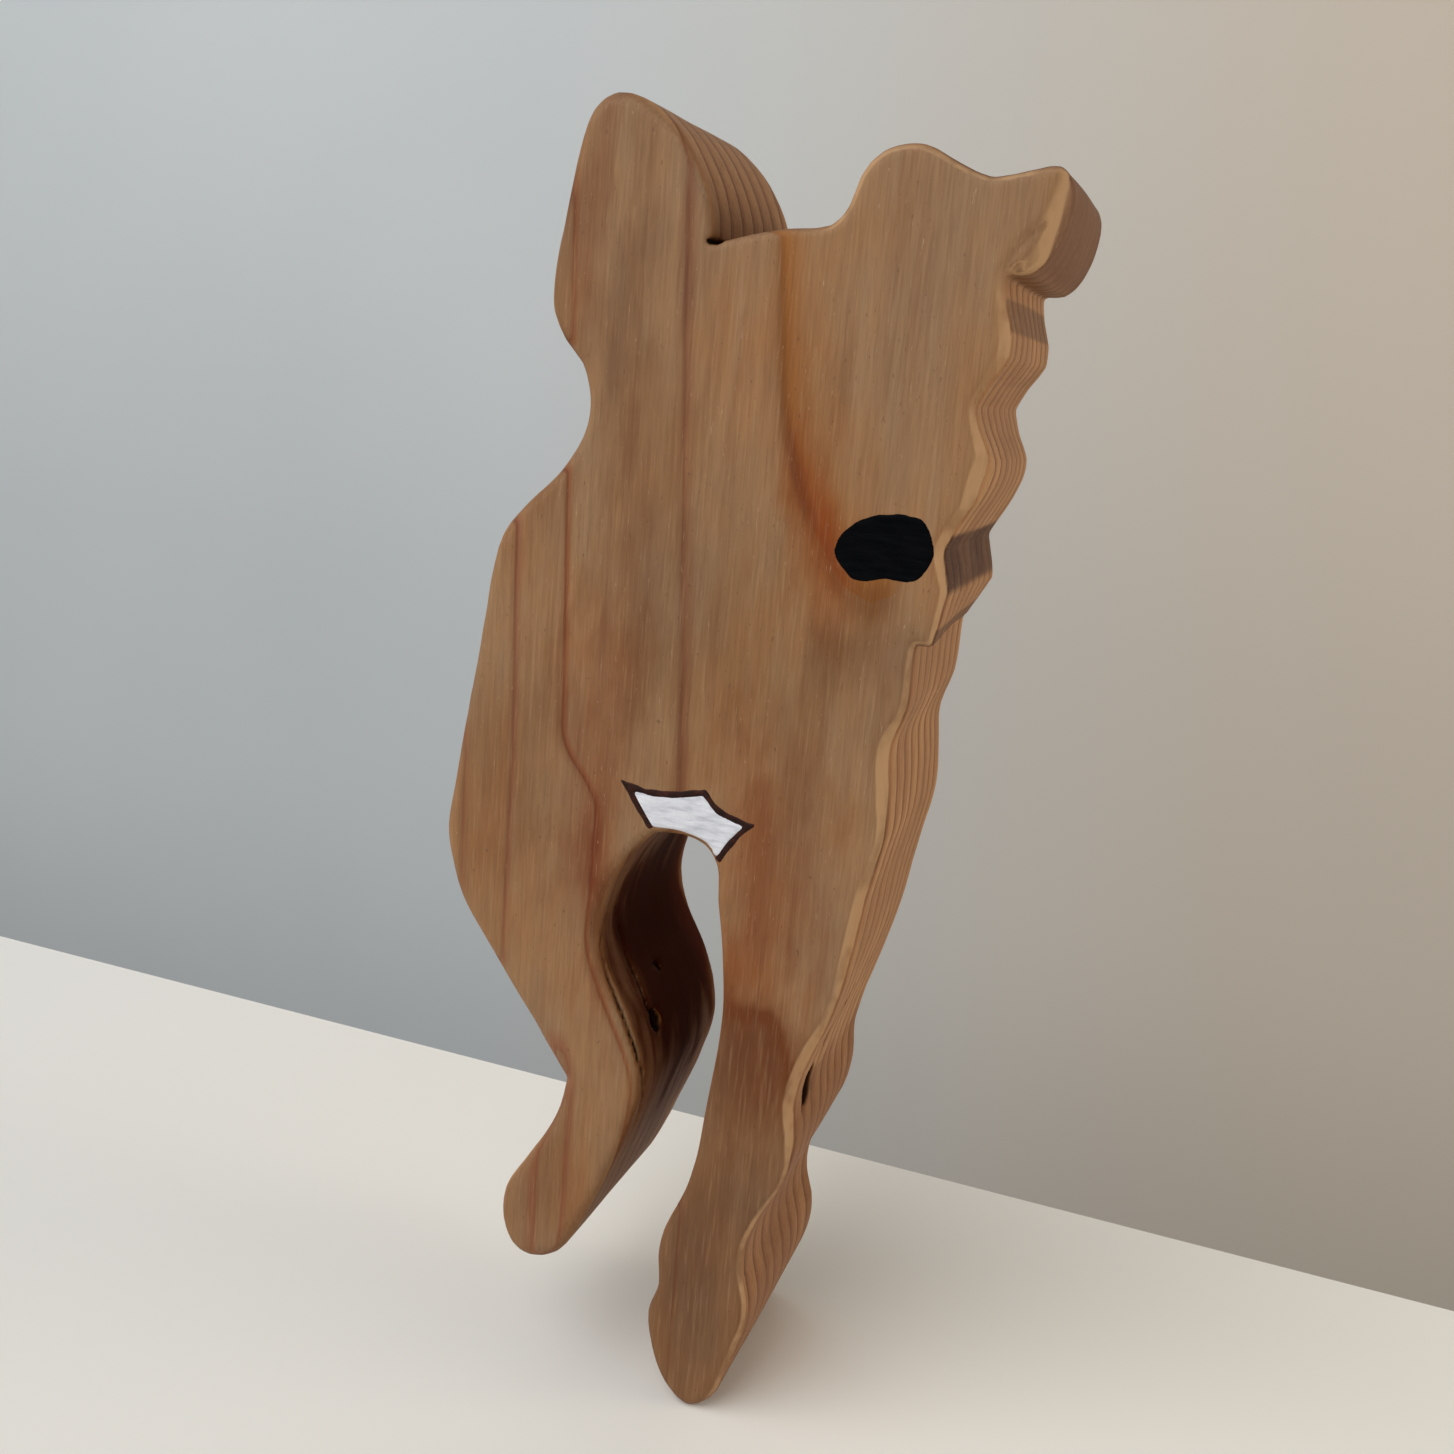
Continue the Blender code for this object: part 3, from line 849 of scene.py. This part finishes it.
wood = oiled_softwood()
white = brushed_paint(
    "white_paint", srgb(180, 181, 188), srgb(212, 212, 217), srgb(232, 233, 236), 0.55, 0.3,
    (2.6, 1.0, 0.5),
)
dark_brown = brushed_paint(
    "dark_brown_paint", srgb(24, 9, 6), srgb(44, 18, 11), srgb(70, 32, 20), 0.6, 0.15,
    (1.2, 1.0, 0.8),
)
black = brushed_paint(
    "black_paint", srgb(5, 6, 8), srgb(9, 10, 12), srgb(15, 16, 18), 0.88, 0.02,
    (3.0, 1.0, 0.6),
)

pad = 2 * BODY_CELL
body_levels = [np.arange(a - pad, b + pad, BODY_CELL) for a, b in zip(body_low, body_high)]
# Levels through the board, as (start, end, cell): fine where the worn front edge and the cracks are,
# wide through the plain walls.
DEPTH_BANDS = [
    (FRONT - 0.7, FRONT + 2.4, 0.35), (FRONT + 2.6, FRONT + 9.0, 0.55),
    (FRONT + 9.4, BACK - 2.2, 0.95), (BACK - 1.8, BACK + 1.0, 0.45),
]
body_levels[1] = np.concatenate([np.arange(*band) for band in DEPTH_BANDS])
body = piece_of("figure_body_carved", body_distance, body_levels, wood)
places = np.array([v.co for v in body.data.vertices]) / MM
scar = body.data.attributes.new("scar", "FLOAT", "POINT")
scar.data.foreach_set("value", scar_depth_shade(*places.T))
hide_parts("figure_body")
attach(body, "root")

# The paint films: the cells of their meshes and outlines, how far they reach into the wood, the depth
# that they wrap round its edge to, the width over which they thin out, and the room round each.
FILM_CELL = 0.14
FILM_MAP_CELL = 0.1
FILM_MAP_MARGIN = 2.0
FILM_BELOW = 0.22
FILM_WRAP = 1.1
FILM_THINS = 0.35
FILM_ROOM_LOW = np.array([1.2, 0.8, 1.8])
FILM_ROOM_HIGH = np.array([1.2, 1.0, 1.2])


def film(name, node, material, grow, thick, wobble):
    """A paint film that follows the wood's surface inside a CAD film's outline.

    grow widens the outline and wobble makes it uneven; the paint wraps over the wood's rounded edge.
    """
    low, high = (np.array(corner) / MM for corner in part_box(node))
    edge = distance_map(outline(node, low[1]), FILM_MAP_CELL, FILM_MAP_MARGIN)

    def distance(x, y, z):
        inside = edge(x, z) - grow + wobble * waves(x, y, z, (1.1, 9, 1.1))
        wrap = y - FRONT - FILM_WRAP + 0.2 * waves(x, y, z, (1.3, 9, 1.3))
        reach = smooth_max(inside, wrap, 0.3)
        surface = body_distance(x, y, z)
        strokes = 0.3 * waves(x + 0.5 * z, y, z, (1.8, 9, 0.45))
        height = thick * (0.8 + strokes) * np.clip(-reach / FILM_THINS, 0.15, 1.0) ** 0.5
        return np.maximum(smooth_max(surface - height, reach, 0.08), -surface - FILM_BELOW)

    start = np.array([low[0] - grow, FRONT, low[2] - grow]) - FILM_ROOM_LOW
    end = np.array([high[0] + grow, FRONT + FILM_WRAP, high[2] + grow]) + FILM_ROOM_HIGH
    levels = [np.arange(a, b, FILM_CELL) for a, b in zip(start, end)]
    made = piece_of(name, distance, levels, material)
    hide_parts(node)
    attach(made, "root")


film("white_paint_film", "white_paint_patch", white, 0.45, 0.08, 0.06)
film("dark_line_film", "dark_paint_line", dark_brown, 0.05, 0.14, 0.12)
film("black_spot_film", "black_paint_spot", black, 0.1, 0.09, 0.16)

# ------------------------------------------------------------------------------------------- stage


def pale_finish(name, darker, paler, warm_light_tint, speck_size):
    """A plain matt surface with painted warm light towards the right."""
    pale = Finish(name)
    cloud = pale.noise((260, 260, 260), 3.0)
    speck = pale.noise((speck_size,) * 3, 2.0)
    colour = pale.ramp(cloud, [(0.3, darker), (0.7, paler)])["Color"]
    # Painted warm light: the colour turns warmer towards the right.
    colour = pale.mix(pale.range(pale.axes(pale.place)["X"], -400, 150), colour, warm_light_tint)
    rough = pale.range(speck, 0.3, 0.7, 0.60, 0.72)
    relief = pale.bump(speck, 0.02, 0.3)
    return pale.done(Base_Color=colour, Roughness=rough, Normal=relief, Specular_IOR_Level=0.2)


def stage_plane(name, corners, material):
    """A flat sheet that belongs to the stage and not to the part."""
    mesh = bpy.data.meshes.new(name)
    mesh.from_pydata(corners, [], [(0, 1, 2, 3)])
    mesh.materials.append(material)
    made = bpy.data.objects.new(name, mesh)
    bpy.context.collection.objects.link(made)


# The table ends where the photo's wall begins; the wall stands further back. In metres.
TABLE_SIDE = 1.6
TABLE_BEHIND = 0.0535
TABLE_BEFORE = 1.2
WALL_SIDE = 3.0
WALL_BEHIND = 0.6
WALL_HEIGHT = 3.0
WALL_BELOW = 2.0
stage_plane(
    "table",
    [
        (-TABLE_SIDE, -TABLE_BEFORE, 0), (TABLE_SIDE, -TABLE_BEFORE, 0),
        (TABLE_SIDE, TABLE_BEHIND, 0), (-TABLE_SIDE, TABLE_BEHIND, 0),
    ],
    pale_finish("pale_table", srgb(224, 223, 220), srgb(230, 229, 227), srgb(232, 228, 219), 1.5),
)
stage_plane(
    "wall",
    [
        (-WALL_SIDE, WALL_BEHIND, -WALL_BELOW), (WALL_SIDE, WALL_BEHIND, -WALL_BELOW),
        (WALL_SIDE, WALL_BEHIND, WALL_HEIGHT), (-WALL_SIDE, WALL_BEHIND, WALL_HEIGHT),
    ],
    pale_finish("pale_wall", srgb(200, 204, 204), srgb(206, 209, 208), srgb(200, 188, 172), 3.0),
)

world = bpy.data.worlds.new("studio")
bpy.context.scene.world = world
world.use_nodes = True
backdrop = world.node_tree.nodes["Background"]
backdrop.inputs["Color"].default_value = srgb(188, 190, 194)
backdrop.inputs["Strength"].default_value = 0.42

AIM = (0.0, 0.0, 0.075)
BESIDE = (0.16, 0.6, 0.05)


def soft_light(name, azimuth, elevation, distance, size, power, colour, aim=AIM):
    """A square soft box that looks at its aim, in metres and watts. Azimuth 90 is on the right."""
    lamp = bpy.data.lights.new(name, "AREA")
    lamp.size = size
    lamp.energy = power
    lamp.color = colour
    made = bpy.data.objects.new(name, lamp)
    a, e = math.radians(azimuth), math.radians(elevation)
    away = Vector((math.sin(a) * math.cos(e), -math.cos(a) * math.cos(e), math.sin(e)))
    made.location = Vector(aim) + away * distance
    made.rotation_euler = away.to_track_quat("Z", "Y").to_euler()
    bpy.context.collection.objects.link(made)


soft_light("window", -34, 42, 1.8, 2.0, 36.0, (0.965, 0.985, 1.0))
soft_light("warm_bounce", 98, 9, 0.6, 0.35, 1.25, (1.0, 0.93, 0.84))
soft_light("warm_lamp", 60, 30, 0.9, 0.4, 0.9, (1.0, 0.80, 0.58), BESIDE)

# The photo's view: angles in degrees, the place in metres, and a lens as long as its sensor is wide.
CAMERA_AZIMUTH = 18.64
CAMERA_ELEVATION = 13.48
CAMERA_ROLL = 5.02
CAMERA_PLACE = (0.05106, -0.15803, 0.12107)
LENS_AND_SENSOR = 36.0

lens = bpy.data.cameras.new("camera")
lens.lens = LENS_AND_SENSOR
lens.sensor_width = LENS_AND_SENSOR
lens.clip_start = 0.01
camera = bpy.data.objects.new("camera", lens)
camera.matrix_world = (
    Matrix.Translation(CAMERA_PLACE)
    @ Matrix.Rotation(math.radians(CAMERA_AZIMUTH), 4, "Z")
    @ Matrix.Rotation(math.radians(90.0 - CAMERA_ELEVATION), 4, "X")
    @ Matrix.Rotation(math.radians(CAMERA_ROLL), 4, "Z")
)
bpy.context.collection.objects.link(camera)
bpy.context.scene.camera = camera
bpy.context.scene.view_settings.view_transform = "Standard"
